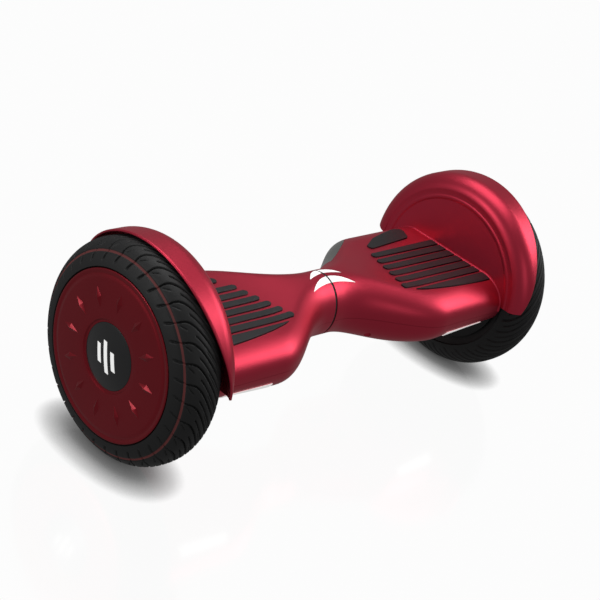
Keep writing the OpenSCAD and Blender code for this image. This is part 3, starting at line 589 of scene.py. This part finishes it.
PROUD = 1.6
pad_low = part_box("right_foot_pad")[0] / MM
MAT_TOP = DECK_Z - WALL - 0.3
pad = loft("pad", 60, DISC_IN, -PROUD)
ribs = [bar(i, 0) for i in range(BARS)] + [front_cap(0), crescent(0)]
boolean(pad, prisms("ribs", ribs, MAT_TOP - 1.4, BIG), "INTERSECT")
finish_mesh(pad, bevel=0.6, segments=3)
mat_outline = [(BAR_END + 2, -61), (BAR_END + 2, 61), (140, 61), (122, 30), (100, -50), (126, -58)]
mat_plate = prisms("mat_plate", [mat_outline], MAT_TOP - 2.8, MAT_TOP)
pegs = cylinders("pegs", [(175, 40), (175, -40)], 4, pad_low.z, MAT_TOP - 2.6)
bpy.ops.object.select_all(action="DESELECT")
for o in (pad, mat_plate, pegs):
    o.select_set(True)
bpy.context.view_layer.objects.active = pad
bpy.ops.object.join()
paint(pad, PAD)
both(pad, "foot_pad", "pad", "pad_grey")

# ---------------------------------------------------------------- wheels

GROOVES = 34
RED_LINE = 25.4


def tread_depth(a, phi, r):
    """Depth of the tread's grooves in mm, and True where the red line runs."""
    period = 2 * np.pi / GROOVES

    def groove(path, low, high, width, depth):
        """Grooves that follow phi = path(a) from low to high, one each period."""
        d = (phi - path(a) + period / 2) % period - period / 2
        slope = (path(a + 0.5) - path(a - 0.5)) * r
        away = np.abs(d * r) / np.sqrt(1 + slope ** 2)
        fade = smooth((a - low) / 1.5) * smooth((high - a) / 1.5)
        return depth * smooth((width / 2 + 0.5 - away) / 1.0) * fade

    def sweep(v):
        hook = 0.032 * np.clip((v - 24) / 5, 0, 2) ** 1.5
        return hook - 0.0131 * 3 * np.logaddexp(0, (16 - v) / 3)

    depth = 1.0 * smooth((1.5 - np.abs(a - RED_LINE)) / 0.9)
    depth = np.maximum(depth, groove(sweep, -31, 30.5, 1.5, 2.2))
    depth = np.maximum(depth, groove(lambda v: sweep(v) + 0.5 * period, -29.5, 13, 1.1, 1.7))
    depth = np.maximum(depth, groove(lambda v: 0.5 * period + 0.012 * (v - 18), 17.5, 23.5, 0.8, 1.2))
    depth = np.maximum(depth, groove(lambda v: sweep(v) + 0.27 * period, -20, 4, 0.6, 1.0))
    return depth, np.abs(a - RED_LINE) < 0.7


def tyre_mesh():
    n_power, height = 2.45, 50.0

    def arc(inset, start, stop, steps):
        t = np.radians(np.linspace(start, stop, steps))
        s, c = np.sin(t), np.cos(t)
        return np.c_[TYRE_R - height + (height - inset) * np.abs(s) ** (2 / n_power),
                     (HALF_TYRE - inset) * np.sign(c) * np.abs(c) ** (2 / n_power)]

    fine = arc(0, 20, 160, 2400)
    way = np.r_[0, np.cumsum(np.linalg.norm(np.diff(fine, axis=0), axis=1))]
    even = np.linspace(0, way[-1], 140)
    outside = np.c_[np.interp(even, way, fine[:, 0]), np.interp(even, way, fine[:, 1])]
    seat = CAP_R + 0.8
    rest = np.r_[[[seat, -30.3], [seat, -29.2], [88, -24.2], [76, -24.2], [76, -18], [92, -18]],
                 arc(5, 145, 35, 24),
                 [[92, 18], [76, 18], [76, 24.2], [88, 24.2], [seat, 29.2], [seat, 30.3]]]
    steps = 1080
    phi = np.arange(steps) * 2 * np.pi / steps
    tangent = np.gradient(outside, axis=0)
    normal = np.c_[-tangent[:, 1], tangent[:, 0]]
    normal /= np.linalg.norm(normal, axis=1)[:, None]
    if normal[70, 0] < 0:
        normal = -normal
    rows, red = [], []
    for p in phi:
        depth, line = tread_depth(outside[:, 1], p, outside[:, 0])
        shoulder = smooth((33.6 - np.abs(outside[:, 1])) / 2)
        lower = outside - normal * (depth * shoulder)[:, None]
        profile = np.r_[lower, rest]
        rows.append(wheel_point(profile[:, 0], profile[:, 1], np.full(len(profile), p)))
        red.append(np.r_[line, np.zeros(len(rest), bool)])
    slots = np.array(red).reshape(-1)
    return grid("tyre", rows, closed_rows=True, closed_columns=True,
                materials=(TYRE, TREAD_LINE), face_slots=slots)


tyre = tyre_mesh()
tyre.data.set_sharp_from_angle(angle=math.radians(50))
both(tyre, "tyre", "wheel", "tyre_black")

CAP_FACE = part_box("right_hub_badge")[0].x / MM - WHEEL_X
CAP_BACK = CAP_FACE - 2.5


def hub_cap_mesh():
    rim = CAP_R
    edge = 1.2
    curve = [(rim - edge + edge * math.sin(a), CAP_FACE - 1.6 + edge * math.cos(a))
             for a in np.linspace(math.pi / 2, 0, 6)]
    face = [(rim - 3.2, CAP_FACE - 0.4), (rim - 4.6, CAP_FACE - 1.0), (rim - 6.2, CAP_FACE - 1.0),
            (rim - 8.0, CAP_FACE - 0.15), (rim - 11, CAP_FACE)]
    flat = [(r, CAP_FACE + 0.9 * (1 - ((r - 44) / (rim - 55)) ** 2)) for r in np.linspace(rim - 16, 44, 8)]
    well = [(41.5, CAP_FACE + 0.7), (40.2, CAP_FACE - 0.9), (BADGE_R + 0.6, CAP_FACE - 1.0),
            (20, CAP_FACE - 1.0), (3, CAP_FACE - 1.0)]
    back = [(3, CAP_BACK), (34, CAP_BACK), (34, 23), (36, 23), (36, CAP_BACK), (81, CAP_BACK), (81, 27.2),
            (83, 27.2), (83, CAP_BACK), (rim, CAP_BACK)]
    return turned("cap", curve + face + flat + well + back, 192)


def thorns():
    """Twelve raised pointed studs round the cap."""
    points, faces = [], []
    for i in range(12):
        turn = 2 * math.pi * i / 12
        out = np.array([math.cos(turn), math.sin(turn)])
        side = np.array([-out[1], out[0]])
        corners = [out * 77.5, out * 66 + side * 5.6, out * 49, out * 66 - side * 5.6]
        start = len(points)
        base = [(CAP_FACE + 0.1, c) for c in corners] + [(CAP_FACE + 3.3, out * 65)]
        points += [(WHEEL_X + a, c[0], AXLE_Z + c[1]) for a, c in base]
        faces.append((start, start + 3, start + 2, start + 1))
        faces += [(start + k, start + (k + 1) % 4, start + 4) for k in range(4)]
    return add("thorns", points, faces, flat=True)


def dome(r, height, base):
    return base + height * (1 - (r / BADGE_R) ** 2)


cap = hub_cap_mesh()
boolean(cap, thorns(), "UNION")
paint(cap, CAP_RED)
finish_mesh(cap, angle=28)
both(cap, "hub_cap", "wheel", "cap_red")

BADGE_BASE = CAP_FACE - 0.9
rings = np.linspace(0.4, BADGE_R - 1.2, 22)
badge_profile = ([(r, dome(r, 4.0, BADGE_BASE)) for r in rings]
                 + [(BADGE_R - 0.5, BADGE_BASE + 0.0), (BADGE_R - 0.2, BADGE_BASE - 0.6),
                    (BADGE_R - 0.2, CAP_FACE - 1.0), (0.4, CAP_FACE - 1.0)])
badge = turned("badge", badge_profile, 128)
paint(badge, BADGE)
finish_mesh(badge, angle=40)
both(badge, "hub_badge", "wheel", "badge_black")


def mark_mesh():
    """A plain generic mark: three slanted bars on the dome."""
    points, faces = [], []
    for offset, reach in ((-11.5, 10.0), (0.0, 17.0), (11.5, 10.0)):
        columns, lines = 5, 25
        start = len(points)
        for level in (0.3, -0.4):
            for j in range(lines):
                for i in range(columns):
                    u = offset + (i / (columns - 1) - 0.5) * 5.6
                    v = (j / (lines - 1) - 0.5) * 2 * reach
                    y, z = u + 0.35 * v, v
                    r = math.hypot(y, z)
                    points.append((WHEEL_X + dome(r, 4.0, BADGE_BASE) + level, y, AXLE_Z + z))
        layer = columns * lines
        for j in range(lines - 1):
            for i in range(columns - 1):
                a = start + j * columns + i
                quad = (a, a + 1, a + columns + 1, a + columns)
                faces.append(quad)
                faces.append(tuple(v + layer for v in reversed(quad)))
        rim = ([start + i for i in range(columns)]
               + [start + j * columns + columns - 1 for j in range(1, lines)]
               + [start + (lines - 1) * columns + i for i in range(columns - 2, -1, -1)]
               + [start + j * columns for j in range(lines - 2, 0, -1)])
        for p, q in zip(rim, rim[1:] + rim[:1]):
            faces.append((p, p + layer, q + layer, q))
    return add("mark", points, faces)


mark = mark_mesh()
# Painted brightness: the mark takes the light guides' glowing white finish, though it is print and no lamp
paint(mark, LIGHT)
mark.data.set_sharp_from_angle(angle=math.radians(40))
mark.name = "right_badge_mark"
left_mark = clone(mark, "left_badge_mark", mirrored=True)
for piece, side in ((mark, "right"), (left_mark, "left")):
    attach(piece, side + "_wheel")

remove(outer)
remove(skin)

# ---------------------------------------------------------------- stage, lights and camera

FLOOR = 6.0
floor = add("floor", [(s * FLOOR / MM, t * FLOOR / MM, 0) for s, t in ((-1, -1), (1, -1), (1, 1), (-1, 1))],
            [(0, 1, 2, 3)], flat=True)
floor.location.z = -0.0004
# Painted contact shadow: the floor glows white, and ambient occlusion darkens its glow only where the object
# is close above it
floor_mat = bpy.data.materials.new("studio_floor")
floor_mat.use_nodes = True
tree = floor_mat.node_tree
tree.nodes.clear()
floor_out = tree.nodes.new("ShaderNodeOutputMaterial")
# Painted shadow: this occlusion, not the lamps, makes the floor's dark patches under the wheels
painted_shadow_ao = tree.nodes.new("ShaderNodeAmbientOcclusion")
painted_shadow_ao.samples = 16
painted_shadow_ao.inputs["Distance"].default_value = 0.04
shade = tree.nodes.new("ShaderNodeValToRGB")
for at, value in ((0.0, 0.03), (0.45, 0.16), (0.8, 0.6), (1.0, 0.97)):
    stop = shade.color_ramp.elements[0] if at == 0 else shade.color_ramp.elements.new(at)
    stop.position = at
    stop.color = (value, value, value, 1)
glow_with_painted_shadow = tree.nodes.new("ShaderNodeEmission")
glow_with_painted_shadow.inputs[1].default_value = 1.12
sheen = tree.nodes.new("ShaderNodeBsdfGlossy")
sheen.inputs["Roughness"].default_value = 0.12
blend = tree.nodes.new("ShaderNodeMixShader")
blend.inputs[0].default_value = 0.12
tree.links.new(painted_shadow_ao.outputs["AO"], shade.inputs[0])
tree.links.new(shade.outputs[0], glow_with_painted_shadow.inputs[0])
tree.links.new(glow_with_painted_shadow.outputs[0], blend.inputs[1])
tree.links.new(sheen.outputs[0], blend.inputs[2])
tree.links.new(blend.outputs[0], floor_out.inputs[0])
paint(floor, floor_mat)
floor.visible_glossy = False
floor.visible_diffuse = False

world = bpy.data.worlds.new("studio")
bpy.context.scene.world = world
world.use_nodes = True
tree = world.node_tree
tree.nodes.clear()
world_out = tree.nodes.new("ShaderNodeOutputWorld")
plain = tree.nodes.new("ShaderNodeBackground")
plain.inputs[0].default_value = (1, 1, 1, 1)
plain.inputs[1].default_value = 1.0
dim = tree.nodes.new("ShaderNodeBackground")
dim.inputs[0].default_value = (1, 1, 1, 1)
dim.inputs[1].default_value = 0.2
rays = tree.nodes.new("ShaderNodeLightPath")
chooser = tree.nodes.new("ShaderNodeMixShader")
tree.links.new(rays.outputs["Is Camera Ray"], chooser.inputs[0])
tree.links.new(dim.outputs[0], chooser.inputs[1])
tree.links.new(plain.outputs[0], chooser.inputs[2])
tree.links.new(chooser.outputs[0], world_out.inputs[0])


def area(name, place, target, size, watts, size_y=None):
    data = bpy.data.lights.new(name, "AREA")
    data.energy = watts
    data.shape = "RECTANGLE"
    data.size = size
    data.size_y = size_y or size
    obj = bpy.data.objects.new(name, data)
    bpy.context.scene.collection.objects.link(obj)
    obj.location = place
    obj.rotation_mode = "QUATERNION"
    obj.rotation_quaternion = (Vector(target) - Vector(place)).to_track_quat("-Z", "Y")
    return obj


centre = (0, 0, 0.13)
area("key", (2.1, -1.1, 1.6), centre, 1.5, 29)
area("front", (-0.9, -2.2, 0.9), centre, 0.9, 3)
area("top", (0.0, 0.6, 2.4), centre, 2.0, 30)
area("left", (-2.4, 0.9, 0.9), centre, 0.8, 12)

camera_data = bpy.data.cameras.new("camera")
camera_data.sensor_width = 36
camera_data.lens = 91.85
camera = bpy.data.objects.new("camera", camera_data)
bpy.context.scene.collection.objects.link(camera)
forward = Vector((0.6990, 0.5548, -0.4512)).normalized()
right = Vector((0.6950, -0.6757, 0.2459))
right = (right - forward * right.dot(forward)).normalized()
up = right.cross(forward)
camera.matrix_world = Matrix((
    (right.x, up.x, -forward.x, -1.3036),
    (right.y, up.y, -forward.y, -1.0113),
    (right.z, up.z, -forward.z, 0.9630),
    (0, 0, 0, 1),
))
bpy.context.scene.camera = camera

view = bpy.context.scene.view_settings
view.view_transform = "Standard"
